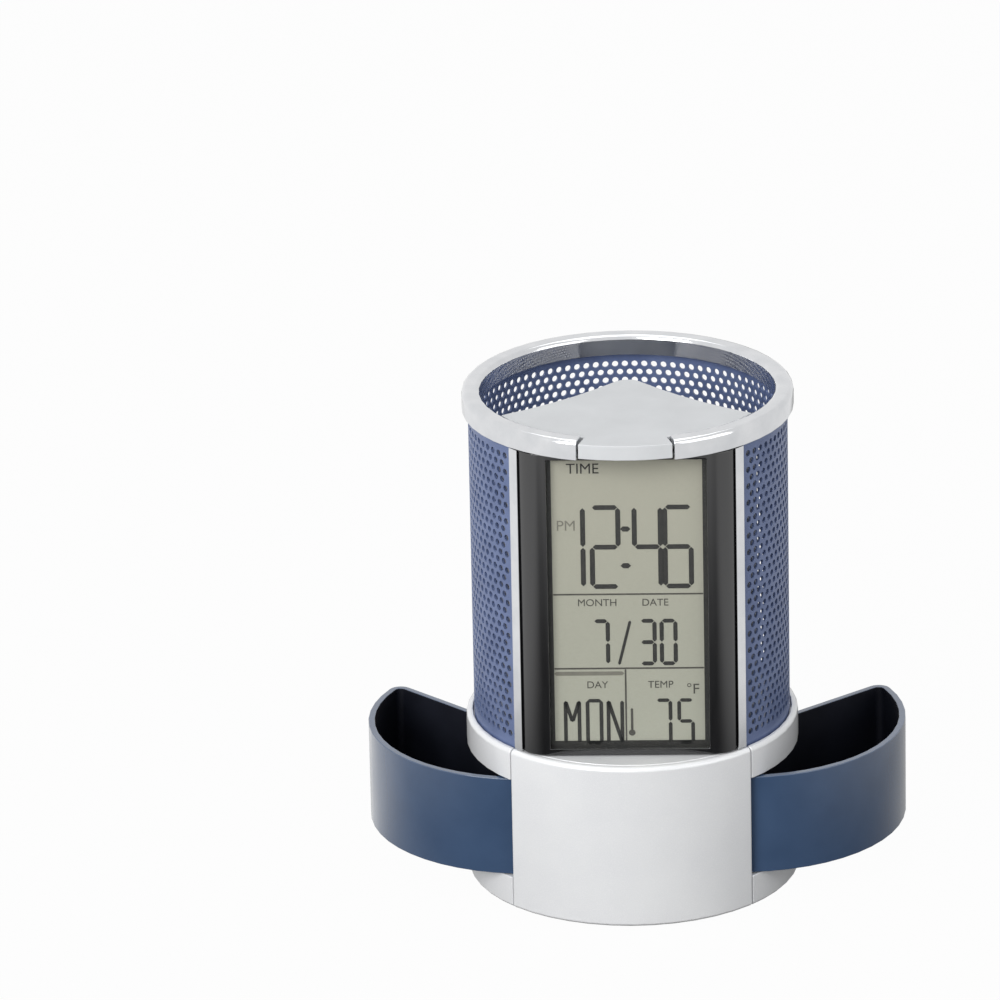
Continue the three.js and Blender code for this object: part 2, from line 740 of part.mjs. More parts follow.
// The ring: a rounded band that caps the mesh, open at the front for the key's tab
function ring() {
  const corner = (radius, from) => {
    const centre = new THREE.Vector2(radius, ringTop - ringRound);
    return arc(centre, ringRound, from, from + 90, cornerFacet).map((p) => [p.x, p.y]);
  };
  const band = revolve([
    [ringBore, ringBottom],
    [ringRadius, ringBottom],
    ...corner(ringRadius - ringRound, 0),
    ...corner(ringBore + ringRound, 90),
    [ringBore, ringBottom],
  ]);
  const half = tabAngle + notchGap / (ringRadius * DEG);
  const notch = sector(ringBore - fit, ringRadius + fit, -half, half, ringBottom - fit, ringTop + fit);
  return cut(band, meshGroove(ringBottom - fit, ringBottom + meshSeat), notch);
}

// A trim strip: a thin web between the bezel and the mesh, and lips over the edges of both
function trimStrip(side) {
  const from = bezelAngle + fitAngle;
  const lipInner = cupRadius + fit;
  const shoulder = new THREE.Vector2(shoulderAcross, shoulderDepth);
  const tipAngle = shoulderAngle - trimWrapAngle;
  const outline = [
    ...drumArc(lipInner + trimProud, from, webAngle + trimLipAngle),
    ...drumArc(lipInner, webAngle + trimLipAngle, webAngle),
    ...drumArc(cupRadius - trimDepth, webAngle, from),
    onDrum(cupRadius, from),
    ...arc(shoulder, shoulderRadius + fit, shoulderAngle - 90, tipAngle - 90),
    onDrum(shoulderRadius + fit + trimTip, tipAngle).add(shoulder),
  ];
  const strip = prism(outline, clockBottom, clockTop);
  return side > 0 ? strip : strip.mirror([1, 0, 0]);
}

// Clock

// Places of the four posts that carry the board, as x and z pairs
function postPlaces() {
  const levels = [windowTop - postInset, windowBottom + postInset];
  return levels.flatMap((z) => onBothSides((side) => [side * postAcross, z]));
}

function boardScrewHoles(front, back) {
  return postPlaces().map(([x, z]) => crossRod(boardShank + fit, front, back, x, z, screwSides));
}

// A slab behind the window, wider and taller than it by a lap, between two depths
function behindWindow(lap, front, back) {
  return slab(windowWidth + 2 * lap, front, back, windowBottom - lap, windowTop + lap);
}

// The bezel's plan at a depth below its face, from its left end to its right: flat, with round shoulders
function bezelLine(depth) {
  const centre = new THREE.Vector2(shoulderAcross, shoulderDepth);
  const right = arc(centre, shoulderRadius - depth, -90, shoulderAngle - 90, facet);
  const left = right.map((p) => new THREE.Vector2(-p.x, p.y));
  return [...left.reverse(), ...right];
}

// The bezel: a channel that is flat across the window and round at its sides, with posts for the board
function bezel() {
  const channel = prism([...bezelLine(0), ...bezelLine(bezelWall).reverse()], clockBottom, clockTop);
  const window = behindWindow(0, bezelFront - bezelWall, bezelFront + bezelWall);
  const seat = behindWindow(lensLap, lensFront - fit, lensFront + 2 * bezelWall);
  const rooted = shoulderRadius - 0.75 * bezelWall;
  const postFront = shoulderDepth - Math.sqrt(rooted ** 2 - (postAcross - shoulderAcross) ** 2);
  const posts = postPlaces().map(([x, z]) => crossRod(postRadius, postFront, boardFront - fit, x, z));
  const holeFront = boardBack + fit - boardScrewLength;
  const holes = boardScrewHoles(holeFront, boardFront);
  return cut(join(cut(channel, window, seat), ...posts), ...holes);
}

function lens() {
  return behindWindow(lensLap - fit, lensFront, lensBack);
}

// The LCD: two glass plates of unequal height, so that a contact ledge shows at the back
function lcd() {
  const half = windowWidth / 2 + lcdLap;
  const middle = lcdFront + lcdThickness / 2;
  const rear = box([-half, middle - fit, windowBottom + lcdLedge], [half, lcdBack, windowTop - lcdLedge]);
  return join(behindWindow(lcdLap, lcdFront, middle), rear);
}

// A rubber contact strip from the LCD's ledge to the board, grown by a margin: end is 1 at the top
function contactStrip(end, margin = 0) {
  const level = windowMiddle + end * (windowHeight / 2 - stripHeight / 2 - 2 * fit);
  const half = stripHeight / 2 + margin;
  const length = windowWidth - 2 * stripInset + 2 * margin;
  return slab(length, lcdFront + lcdThickness / 2 + fit, boardFront - fit, level - half, level + half);
}

// The spacer: a frame between the LCD and the board, slotted for the contact strips
function spacer() {
  const frame = behindWindow(lcdLap, spacerFront, spacerBack);
  const view = behindWindow(-spacerRim, spacerFront - fit, spacerBack + fit);
  return cut(frame, view, contactStrip(1, fit), contactStrip(-1, fit));
}

// The board: a plate with four ears that rest on the bezel's posts
function board() {
  const plateWidth = 2 * (postAcross - earRadius);
  const plate = slab(plateWidth, boardFront, boardBack, windowBottom + fit, windowTop - fit);
  const ears = postPlaces().map(([x, z]) => crossRod(earRadius, boardFront, boardBack, x, z));
  const webs = [...new Set(postPlaces().map(([, z]) => z))].map((z) =>
    slab(2 * postAcross, boardFront, boardBack, z - earRadius, z + earRadius),
  );
  return cut(join(plate, ...ears, ...webs), ...boardScrewHoles(boardFront - fit, boardBack + fit));
}

function boardScrew(name, [x, z]) {
  const body = screw(boardShank, boardHead, boardHead / 2, boardScrewLength).rotate([90, 0, 0]);
  return piece(name, body, steel, x, boardBack + fit + boardHead / 2, z);
}

// Parts on the back of the board, each with its place across and its height as a share of the window

function onBoard(name, body, material, x, share) {
  return piece(name, body, material, x, boardBack + fit, windowBottom + share * windowHeight);
}

function chip() {
  const dome = solid(new THREE.SphereGeometry(chipRadius, smallSides, smallSides / 2).scale(1, 0.4, 1));
  const front = box([-chipRadius, -chipRadius, -chipRadius], [chipRadius, 0, chipRadius]);
  return onBoard("driver_chip", dome.subtract(front), blackEpoxy, 0, 0.66);
}

function crystal() {
  const outline = roundedRectangle(crystalLength, crystalWidth, 0.48 * crystalWidth);
  return onBoard("quartz_crystal", elevation(outline, 0, 0.8 * crystalWidth), steel, crystalLength, 0.84);
}

function sensor() {
  const outline = roundedRectangle(0.8 * sensorWidth, sensorWidth, 0.3 * sensorWidth);
  const body = elevation(outline, 0, 0.7 * sensorWidth);
  return onBoard("temperature_sensor", body, blackEpoxy, -0.7 * postAcross, 0.15);
}

// The buzzer: a low can with a sound hole
function buzzer() {
  const can = crossRod(buzzerRadius, 0, buzzerDepth, 0, 0, roundSides);
  const hole = crossRod(0.15 * buzzerRadius, buzzerDepth / 3, buzzerDepth + fit);
  return onBoard("alarm_buzzer", cut(can, hole), blackGloss, buzzerRadius, 0.3);
}

// The plan of the prow: an arc at each side, hollowed flanks and a round apex, drawn in by a margin
function prow(radius, from, to, margin = 0) {
  const corner = onDrum(radius, to);
  const nose = Math.max(apexRadius - margin, hollowRound);
  const centre = new THREE.Vector2(0, housingApex - margin * Math.SQRT2 - nose);
  const noseEnd = onDrum(nose, 135).add(centre);
  const along = new THREE.Vector2().subVectors(noseEnd, corner);
  const inward = new THREE.Vector2(-along.y, along.x).normalize();
  const bend = corner.clone().addScaledVector(along, 0.5).addScaledVector(inward, 2 * flankHollow);
  const flank = new THREE.QuadraticBezierCurve(corner, bend, noseEnd).getPoints(flankFacets);
  const apex = arc(centre, nose, 45, 90, cornerFacet / 2);
  const half = [...drumArc(radius, from, to), ...flank.slice(1), ...apex.slice(1)];
  const mirrored = half.slice(0, -1).map((p) => new THREE.Vector2(-p.x, p.y));
  return [...half, ...mirrored.reverse()];
}

// Places of the snooze key's guide posts and of its switch, in plan
function guidePlaces() {
  const y = onDrum(housingRadius, housingTo).y + guideSetback;
  return onBothSides((side) => new THREE.Vector2(side * guideSpread, y));
}
function switchPlace() {
  return new THREE.Vector2(0, housingApex - apexRadius - 2 * snoozeSwitchSize);
}

// The rear housing: a prow-shaped shell, open towards the bezel, with a roof that guides the snooze key
function rearHousing() {
  const outer = prism(prow(housingRadius, housingFrom, housingTo), clockBottom, clockTop);
  const wallAngle = housingWall / (housingRadius * DEG);
  const inside = prow(housingRadius - housingWall, 0, housingTo - wallAngle / 2, housingWall);
  const hollow = prism(inside, clockBottom - fit, clockTop - housingWall);
  const tube = guideRadius + fit + housingWall;
  const tubeFoot = clockTop - guideLength;
  const guides = guidePlaces().map((at) => rod(tube, tubeFoot, clockTop - fit, at));
  const bores = guidePlaces().map((at) => rod(guideRadius + fit, tubeFoot - fit, clockTop + fit, at));
  const plunge = rod(stemRadius + fit, clockTop - 2 * housingWall, clockTop + fit, switchPlace());
  const clockRoom = slab(2 * cupRadius, -cupRadius, housingFront, clockBottom - fit, clockTop + fit);
  return cut(join(cut(outer, hollow), ...guides), ...bores, plunge, clockRoom);
}

// The snooze switch hangs under the housing's roof and takes the key's middle stem
function snoozeSwitch() {
  const { x, y } = switchPlace();
  const half = snoozeSwitchSize / 2;
  const top = clockTop - housingWall - fit;
  const body = box([x - half, y - half, top - snoozeSwitchHeight], [x + half, y + half, top]);
  return cut(body, rod(stemRadius + fit, top - 0.7 * snoozeSwitchHeight, top + fit, switchPlace()));
}

// The snooze key: a plate inside the ring with the prow's outline, and a tab through the ring's notch
function snoozeKey() {
  const top = ringTop - snoozeDrop;
  const bottom = top - keyPlate;
  const radius = ringBore - 2 * fit;
  const plate = prism(prow(radius, 0, plateAngle), bottom, top);
  const tongue = sector(radius - keyPlate, ringRadius, -tabAngle, tabAngle, bottom, top);
  const lip = sector(ringRadius - tabLip, ringRadius, -tabAngle, tabAngle, ringBottom + 2 * fit, top);
  const guides = guidePlaces().map((at) => rod(guideRadius, clockTop - 0.7 * guideLength, bottom + fit, at));
  const stem = rod(stemRadius, clockTop - housingWall - fit - stemEntry, bottom + fit, switchPlace());
  return join(plate, tongue, lip, ...guides, stem);
}

// Assembly

const penHolder = new THREE.Group();
penHolder.name = "digital_clock_pen_holder";

penHolder.add(piece("base_plinth", plinth(), silverPlastic));
penHolder.add(piece("base_deck", deck(), silverPlastic));
penHolder.add(piece("front_apron", apron(), silverPlastic));
penHolder.add(piece("base_core", core(), silverPlastic));
penHolder.add(drawerGroup(-1, "left_drawer", leftOpenAngle), drawerGroup(1, "right_drawer", rightOpenAngle));
penHolder.add(pivotPin(-1, "left_pivot_pin"), pivotPin(1, "right_pivot_pin"));

penHolder.add(cell(), contact("front_battery_contact", -1), contact("rear_battery_contact", 1));
penHolder.add(keyBoard(), cable());
penHolder.add(...eachKey((level, i) => settingKey(`setting_key_${i + 1}`, level)));

penHolder.add(piece("bottom_cover", bottomCover(), silverPlastic), batteryDoor());
penHolder.add(...footPlaces().map((at, i) => foot(`rubber_foot_${i + 1}`, at)));
const baseScrew = screw(screwShank, screwHead, screwHeadHeight, plinthHeight - plateThickness);
screwPlaces().forEach((at, i) => {
  penHolder.add(piece(`base_screw_${i + 1}`, baseScrew, steel, at.x, at.y, footLift + fit));
});

penHolder.add(piece("mesh_sleeve", meshSleeve(), blueMesh));
penHolder.add(piece("top_ring", ring(), chrome));
penHolder.add(piece("left_trim", trimStrip(-1), chrome), piece("right_trim", trimStrip(1), chrome));

penHolder.add(piece("clock_bezel", bezel(), blackGloss));
penHolder.add(piece("clock_lens", lens(), clear));
penHolder.add(piece("lcd_panel", lcd(), lcdGlass));
penHolder.add(piece("lcd_spacer", spacer(), whitePlastic));
penHolder.add(piece("upper_contact_strip", contactStrip(1), blackRubber));
penHolder.add(piece("lower_contact_strip", contactStrip(-1), blackRubber));
penHolder.add(piece("circuit_board", board(), boardGreen));
penHolder.add(...postPlaces().map((place, i) => boardScrew(`board_screw_${i + 1}`, place)));
penHolder.add(chip(), crystal(), sensor(), buzzer());
penHolder.add(piece("clock_housing", rearHousing(), greyPlastic));
penHolder.add(piece("snooze_switch", snoozeSwitch(), blackEpoxy));
penHolder.add(piece("snooze_key", snoozeKey(), greyPlastic));

export default penHolder;
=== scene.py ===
import math

import bmesh
import bpy
from mathutils import Matrix, Vector


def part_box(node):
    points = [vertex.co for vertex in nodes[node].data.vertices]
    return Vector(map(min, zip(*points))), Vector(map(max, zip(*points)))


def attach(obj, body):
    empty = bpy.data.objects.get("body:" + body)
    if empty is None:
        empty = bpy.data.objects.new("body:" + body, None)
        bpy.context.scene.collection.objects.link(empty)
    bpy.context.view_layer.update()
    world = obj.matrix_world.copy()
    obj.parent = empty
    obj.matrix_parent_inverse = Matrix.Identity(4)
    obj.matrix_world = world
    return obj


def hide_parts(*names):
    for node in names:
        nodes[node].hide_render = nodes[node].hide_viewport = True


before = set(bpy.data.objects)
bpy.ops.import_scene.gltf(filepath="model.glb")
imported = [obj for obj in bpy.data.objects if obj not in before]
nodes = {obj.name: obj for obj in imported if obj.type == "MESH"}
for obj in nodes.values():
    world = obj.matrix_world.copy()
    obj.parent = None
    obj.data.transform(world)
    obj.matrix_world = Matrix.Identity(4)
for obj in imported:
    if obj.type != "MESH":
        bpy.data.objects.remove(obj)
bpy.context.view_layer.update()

# Digital clock pen holder: finishes, the perforated sleeve, the LCD's segments, a white studio and
# the camera. Metres, +Z up, the clock faces -Y.

MM = 0.001

# Camera: a long lens in front of the clock and above it, turned a little about its own axis
AZIMUTH = math.radians(2.0)
ELEVATION = math.radians(20.9)
ROLL = math.radians(1.217)
CAMERA_DISTANCE = 2.0
LENS_MM = 296
SENSOR_MM = 36
FARTHEST_SEEN = 20
AIM = Vector((0, 0, 63.38)) * MM
AIM_RIGHT = 31.83 * MM  # the aim point lies this far right of the picture's middle
AIM_BELOW = 30.35 * MM  # and this far below it

# Rounded edges of the solids, in millimetres, and the solids that have a finer rounding
EDGE = 0.22
FINER_EDGES = {
    "ribbon_cable": 0.05,
    "front_battery_contact": 0.08,
    "rear_battery_contact": 0.08,
    "circuit_board": 0.08,
    "key_board": 0.08,
    "left_trim": 0.06,
    "right_trim": 0.06,
    "battery_door": 0.1,
    **{f"{place}_screw_{i}": 0.06 for place in ("base", "board") for i in range(1, 5)},
}
GLASS_PLATES = ("clock_lens", "lcd_panel")  # their edges stay sharp
GROOVED = ("battery_door",)  # its facets aren't joined to flat faces, because grooves are let into it
WELD_REACH = 0.002 * MM  # vertices closer than this are one
FLAT_ANGLE = math.radians(0.6)  # facets that meet at less than this make one flat face
SHARP_ANGLE = math.radians(40)  # edges sharper than this are rounded
SHADED_INSIDE_REACH = 1 * MM  # inner faces, which get the painted shade, have some of the drawer further than this in front of them

# Perforated sleeve
HOLE_PITCH = 2.4 * MM
HOLE_RADIUS = 0.8 * MM
HOLE_SIDES = 12  # two for each side of the net's hexagons
SHEET_GAUGE = 0.6 * MM
SHEET_INSET = 0.1 * MM  # the sheet lies this far inside the solid that it stands for
PLAIN_EDGE = 1.4 * MM  # width of the edge without holes
SAME_SPOT = 0.01 * MM  # corners of the net closer than this are one vertex
CRISP_ANGLE = math.radians(50)  # edges sharper than this aren't shaded smoothly

# LCD, in millimetres across and up the glass. For each row: the bottom edge above the table, the size of a
# sign and its stroke, then the signs with the places of their left edges.
TIME_ROW = {"bottom": 84.8, "height": 21.4, "width": 7.4, "stroke": 1.2}
DATE_ROW = {"bottom": 65.0, "height": 12.0, "width": 4.3, "stroke": 1.0}
DAY_ROW = {"bottom": 44.6, "height": 11.8, "width": 4.2, "stroke": 0.9}
TIME_SIGNS = (("1", -17.4), ("2", -9.0), ("4", 1.1), ("6", 8.4))
DATE_SIGNS = (("7", -8.8), ("3", 2.4), ("0", 7.4))
DAY_SIGNS = (("M", -15.9), ("O", -10.6), ("N", -5.6))
TEMPERATURE_SIGNS = (("7", 6.0), ("5", 11.4))
SEGMENT_GAP = 0.12
INK_DEPTH = 0.06  # the ink stands out this far from the glass
SEVEN = {  # the segments that make each digit
    "0": "abcdef", "1": "bc", "2": "abged", "3": "abgcd", "4": "fgbc",
    "5": "afgcd", "6": "afgedc", "7": "abc", "8": "abcdefg", "9": "abcdfg",
}

# LCD marks: strokes given by two ends and a width, a spot by its middle and radius
COLON = (((-1.7, 100.1), (0.8, 100.1), 1.3), ((-1.7, 90.7), (0.8, 90.7), 1.3))
SLASH = ((-2.4, 65.2), (0.4, 76.6), 0.7)
THERMOMETER_STEM = ((0.5, 48.2), (0.5, 54.0), 0.6)
THERMOMETER_BULB = ((0.5, 47.6), 0.8)
RULE_STROKE = 0.4
LEVEL_RULES = (83.4, 64.3)  # heights of the rules across the whole glass
UPRIGHT_RULE = ((-0.9, 64.1), (-0.9, 45.5), RULE_STROKE)
DAY_BAND_LEVEL = 63.0  # the band above the weekday: its height, right-hand end and width
DAY_BAND_END = -1.2
DAY_BAND_STROKE = 1.0
BORDER_SIDE = 1.8  # black border round the glass: at the sides, below and above; the strip below is also painted shade at the window's foot
BORDER_BELOW = 1.9
BORDER_ABOVE = 1.2

# LCD words: left and bottom edge, height of the capitals and ink
SMALL_WORD = 1.8
LARGE_WORD = 2.6
CAPITAL_SHARE = 0.7  # a capital's share of the type size
WORDS = {
    "lcd_word_time": ("TIME", -14.4, 114.3, LARGE_WORD, "black"),
    "lcd_word_pm": ("PM", -17.0, 99.8, LARGE_WORD, "faint"),
    "lcd_word_month": ("MONTH", -12.2, 80.4, SMALL_WORD, "grey"),
    "lcd_word_date": ("DATE", 3.2, 80.4, SMALL_WORD, "grey"),
    "lcd_word_day": ("DAY", -10.3, 59.2, SMALL_WORD, "grey"),
    "lcd_word_temp": ("TEMP", 4.4, 59.2, SMALL_WORD, "grey"),
    "lcd_word_degree": ("\u00b0F", 13.6, 57.6, LARGE_WORD, "grey"),
}

# Clear window: the share of light that it reflects when seen straight on
LENS_GLOSS = 0.012

# Lamps: place, size in metres and power in watts
LAMPS = {
    "key_left": ((-0.6, -1.0, 0.65), 0.8, 14.0),
    "fill_right": ((0.9, -0.6, 0.5), 0.8, 2.6),
    "overhead": ((0.0, 0.15, 1.1), 0.9, 2.5),
}

# Surroundings: the fill light, and how bright the left and the right are in reflections
FILL_COLOUR = (0.98, 0.99, 1.0, 1)
FILL_STRENGTH = 0.36
LEFT_GLOSS = 1.0
RIGHT_GLOSS = 0.9
SKY_SIDES = (-0.6, 0.6)  # left goes over to right between these directions
FLOOR_SIDES = (-0.3, 0.3)  # and on the floor between these places

# Floor: its share of plain white where it is seen, and the dark strip in front of the clock, which only
# reflections show
FLOOR_HALF = 5
FLOOR_LEVEL = -0.05 * MM  # just below the feet
FLOOR_GREY = (0.3, 0.3, 0.3, 1)
FLOOR_ROUGHNESS = 0.9
FLOOR_WHITE = 0.975
STRIP_GLOSS = 0.08
STRIP_SIDES = (0.05, 0.2)  # the strip ends between these distances from the middle plane
STRIP_ENDS = (-0.15, -0.42)  # and between these depths in front
STRIP_REAR = (-0.05, 0.03)  # and these beside the clock
REAR_GLOSS = (0.88, 0.45)  # the floor behind the strip, on the left and on the right
REAR_SIDES = (-0.05, 0.05)  # left goes over to right between these places


def add_object(name, data):
    obj = bpy.data.objects.new(name, data)
    bpy.context.scene.collection.objects.link(obj)
    return obj


def add_closed_mesh(name, mesh):
    """An object made of a finished mesh, with its faces turned outwards."""
    bmesh.ops.recalc_face_normals(mesh, faces=mesh.faces)
    data = bpy.data.meshes.new(name)
    mesh.to_mesh(data)
    mesh.free()
    return add_object(name, data)


# Camera

def place_camera():
    back = Vector((
        math.sin(AZIMUTH) * math.cos(ELEVATION),
        -math.cos(AZIMUTH) * math.cos(ELEVATION),
        math.sin(ELEVATION),
    ))
    level = Vector((math.cos(AZIMUTH), math.sin(AZIMUTH), 0))
    upright = back.cross(level)
    right = level * math.cos(ROLL) - upright * math.sin(ROLL)
    up = level * math.sin(ROLL) + upright * math.cos(ROLL)
    data = bpy.data.cameras.new("camera")
    data.lens = LENS_MM
    data.sensor_width = SENSOR_MM
    data.clip_end = FARTHEST_SEEN
    camera = add_object("camera", data)
    turn = Matrix((right, up, back)).transposed().to_4x4()
    place = AIM + back * CAMERA_DISTANCE - right * AIM_RIGHT + up * AIM_BELOW
    camera.matrix_world = Matrix.Translation(place) @ turn
    bpy.context.scene.camera = camera


# Finishes

def srgb(red, green, blue):
    """A colour written as 0 to 255 screen values, as linear red, green, blue and alpha."""
    def linear(value):
        value /= 255
        return value / 12.92 if value <= 0.04045 else ((value + 0.055) / 1.055) ** 2.4
    return (linear(red), linear(green), linear(blue), 1)


class Finish:
    """A Principled material that is built up from patterns in the object's own metres."""

    def __init__(self, name, **sockets):
        self.material = bpy.data.materials.new(name)
        self.material.use_nodes = True
        self.tree = self.material.node_tree
        self.shader = self.tree.nodes["Principled BSDF"]
        self.output = self.tree.nodes["Material Output"]
        self.place = self.node("ShaderNodeTexCoord").outputs["Object"]
        for socket, value in sockets.items():
            title = socket.replace("_", " ").title().replace("Ior", "IOR")
            self.shader.inputs[title].default_value = value

    def node(self, kind, **settings):
        made = self.tree.nodes.new(kind)
        for key, value in settings.items():
            setattr(made, key, value)
        return made

    def feed(self, socket, source):
        self.tree.links.new(source, socket)

    def coordinates(self):
        """The place's three coordinates, each as an output."""
        node = self.node("ShaderNodeSeparateXYZ")
        self.feed(node.inputs["Vector"], self.place)
        return node.outputs

    def noise(self, size, detail=2, stretch=(1, 1, 1)):
        """Noise with grains of a given size, in metres, drawn out along the axes."""
        mapping = self.node("ShaderNodeMapping")
        mapping.inputs["Scale"].default_value = [1 / s for s in stretch]
        self.feed(mapping.inputs["Vector"], self.place)
        texture = self.node("ShaderNodeTexNoise")
        texture.inputs["Scale"].default_value = 1 / size
        texture.inputs["Detail"].default_value = detail
        self.feed(texture.inputs["Vector"], mapping.outputs["Vector"])
        return texture.outputs["Fac"]

    def specks(self, spacing, radius):
        """1 in the middle of scattered specks, falling to 0 at their radius, a share of the spacing."""
        texture = self.node("ShaderNodeTexVoronoi")
        texture.inputs["Scale"].default_value = 1 / spacing
        self.feed(texture.inputs["Vector"], self.place)
        return self.span(texture.outputs["Distance"], 1, 0, 0.0, radius)

    def span(self, source, low, high, start=0.3, end=0.7):
        """Maps a pattern's values between start and end on to low to high."""
        node = self.node("ShaderNodeMapRange")
        for socket, value in zip(("From Min", "From Max", "To Min", "To Max"), (start, end, low, high)):
            node.inputs[socket].default_value = value
        self.feed(node.inputs["Value"], source)
        return node.outputs["Result"]

    def mix(self, factor, first, second):
        """Two colours, or colour outputs, mixed by a factor output."""
        node = self.node("ShaderNodeMix", data_type="RGBA")
        self.feed(node.inputs["Factor"], factor)
        for socket, value in (("A_Color", first), ("B_Color", second)):
            target = next(i for i in node.inputs if i.identifier == socket)
            if isinstance(value, tuple):
                target.default_value = value
            else:
                self.feed(target, value)
        return next(o for o in node.outputs if o.identifier == "Result_Color")

    def edges(self, radius):
        """A mask that is 1 along sharp edges, where handling wears a finish, and where the black gloss gets
        its painted highlight.
        """
        bevel = self.node("ShaderNodeBevel", samples=6)
        bevel.inputs["Radius"].default_value = radius
        geometry = self.node("ShaderNodeNewGeometry")
        dot = self.node("ShaderNodeVectorMath", operation="DOT_PRODUCT")
        self.feed(dot.inputs[0], bevel.outputs["Normal"])
        self.feed(dot.inputs[1], geometry.outputs["Normal"])
        return self.span(dot.outputs["Value"], 1, 0, 0.75, 0.99)

    def colour(self, source):
        self.feed(self.shader.inputs["Base Color"], source)

    def roughness(self, source):
        self.feed(self.shader.inputs["Roughness"], source)

    def bump(self, *layers):
        """Bump from layers of pattern, strength and height in metres, one on top of another."""
        below = None
        for pattern, strength, height in layers:
            node = self.node("ShaderNodeBump")
            node.inputs["Strength"].default_value = strength
            node.inputs["Distance"].default_value = height
            self.feed(node.inputs["Height"], pattern)
            if below:
                self.feed(node.inputs["Normal"], below)
            below = node.outputs["Normal"]
        self.feed(self.shader.inputs["Normal"], below)


def moulded(name, dark, light, grain, rough, worn=None, **sockets):
    """Moulded plastic: cloudy colour, a fine spark-eroded grain and, with a worn colour, rubbed edges."""
    made = Finish(name, **sockets)
    cloud = made.noise(9 * MM, 3)
    fine = made.noise(grain, 2)
    colour = made.mix(made.span(cloud, 0, 1), dark, light)
    if worn:
        rubbed = made.mix(made.span(made.noise(1.5 * MM, 3), 0, 1, 0.45, 0.6), colour, worn)
        colour = made.mix(made.span(made.edges(0.35 * MM), 0, 0.6, 0, 1), colour, rubbed)
    made.colour(colour)
    made.roughness(made.span(cloud, rough - 0.05, rough + 0.06))
    made.bump((cloud, 0.08, 0.05 * MM), (fine, 0.12, 0.02 * MM))
    return made.material


def silver_paint():
    """Silver lacquer: bright flakes in a pale coat, with a faint orange peel."""
    made = Finish("silver_lacquer", metallic=0.12, coat_weight=0.6, coat_roughness=0.1)
    cloud = made.noise(14 * MM, 3)
    flake = made.noise(0.22 * MM, 1)
    pale = made.mix(made.span(cloud, 0, 1), srgb(234, 235, 237), srgb(239, 240, 241))
    colour = made.mix(made.span(flake, 0, 0.5, 0.45, 0.75), pale, srgb(248, 248, 249))
    colour = made.mix(made.span(made.edges(0.3 * MM), 0, 0.35, 0, 1), colour, srgb(208, 210, 213))
    made.colour(colour)
    made.roughness(made.span(flake, 0.34, 0.44))
    made.bump((made.noise(1.1 * MM, 2), 0.06, 0.04 * MM), (flake, 0.05, 0.01 * MM))
    return made.material


def plated(name, dark, light, rough):
    """Bright plating: a slow waviness under the gloss, faint smears and hairline scratches."""
    made = Finish(name, metallic=1.0)
    smear = made.noise(6 * MM, 4)
    hair = made.noise(0.25 * MM, 2, stretch=(30, 30, 1))
    made.colour(made.mix(made.span(smear, 0, 1), dark, light))
    made.roughness(made.span(smear, rough, rough + 0.07))
    made.bump((made.noise(11 * MM, 2), 0.1, 0.06 * MM), (hair, 0.03, 0.01 * MM))
    return made.material


def sheet_paint():
    """Blue-grey powder coat on the perforated sheet, thinner along the punched edges."""
    made = Finish("blue_powder_coat", metallic=0.25, coat_weight=0.1, coat_roughness=0.3)
    cloud = made.noise(7 * MM, 3)
    fine = made.noise(0.3 * MM, 2)
    colour = made.mix(made.span(cloud, 0, 1), srgb(92, 107, 146), srgb(106, 121, 160))
    colour = made.mix(made.span(made.edges(0.12 * MM), 0, 0.4, 0, 1), colour, srgb(150, 163, 194))
    made.colour(colour)
    made.roughness(made.span(fine, 0.36, 0.5))
    made.bump((fine, 0.15, 0.02 * MM))
    return made.material


def black_gloss():
    """Polished black plastic with a film of dust, wiping marks and a painted highlight along its edges."""
    made = Finish("black_gloss_plastic", specular_ior_level=1.0)
    wipe = made.noise(3 * MM, 4, stretch=(1, 1, 6))
    dust = made.specks(1.3 * MM, 0.06)
    deep = made.mix(made.span(wipe, 0, 1), srgb(14, 14, 16), srgb(20, 20, 22))
    dusty = made.mix(made.span(dust, 0, 0.4, 0, 1), deep, srgb(110, 110, 108))
    # painted highlight: a paler grey along the sharp edges, standing in for the edges catching light
    made.colour(made.mix(made.span(made.edges(0.3 * MM), 0, 0.8, 0, 1), dusty, srgb(92, 92, 94)))
    made.roughness(made.span(wipe, 0.1, 0.2))
    made.bump((made.noise(9 * MM, 2), 0.05, 0.04 * MM))
    return made.material


def clear_lens():
    """A clear window: see-through, with smears and a surface gloss that grows at a slant."""
    made = Finish("clear_window", base_color=srgb(236, 240, 238))
    made.roughness(made.span(made.noise(7 * MM, 4), 0.02, 0.09))
    clear = made.node("ShaderNodeBsdfTransparent")
    clear.inputs["Color"].default_value = (1, 1, 1, 1)
    slant = made.node("ShaderNodeMath", operation="POWER")
    slant.inputs[1].default_value = 5
    made.feed(slant.inputs[0], made.node("ShaderNodeLayerWeight").outputs["Facing"])
    mix = made.node("ShaderNodeMixShader")
    made.feed(mix.inputs["Fac"], made.span(slant.outputs["Value"], LENS_GLOSS, 1, 0, 1))
    made.feed(mix.inputs[1], clear.outputs["BSDF"])
    made.feed(mix.inputs[2], made.shader.outputs["BSDF"])
    made.feed(made.output.inputs["Surface"], mix.outputs["Shader"])
    return made.material


def lcd_ground():
    """The LCD's khaki reflector: a fine fibrous grain behind the polariser, a little greener lower down."""
    made = Finish("lcd_reflector", specular_ior_level=0.3)
    low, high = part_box("lcd_panel")
    rise = made.span(made.coordinates()["Z"], 0, 1, low.z, high.z)
    ground = made.mix(rise, srgb(172, 174, 160), srgb(174, 172, 157))
    grain = made.span(made.noise(0.35 * MM, 3, stretch=(3, 3, 1)), 0, 0.5)
    made.colour(made.mix(grain, ground, srgb(164, 163, 149)))
    made.roughness(made.span(made.noise(5 * MM, 2), 0.3, 0.4))
    return made.material


def ink(name, dark, light):
    """Liquid crystal that is switched on, a touch uneven."""
    made = Finish(name, roughness=0.45)
    made.colour(made.mix(made.span(made.noise(2.5 * MM, 3), 0, 1), dark, light))
    return made.material


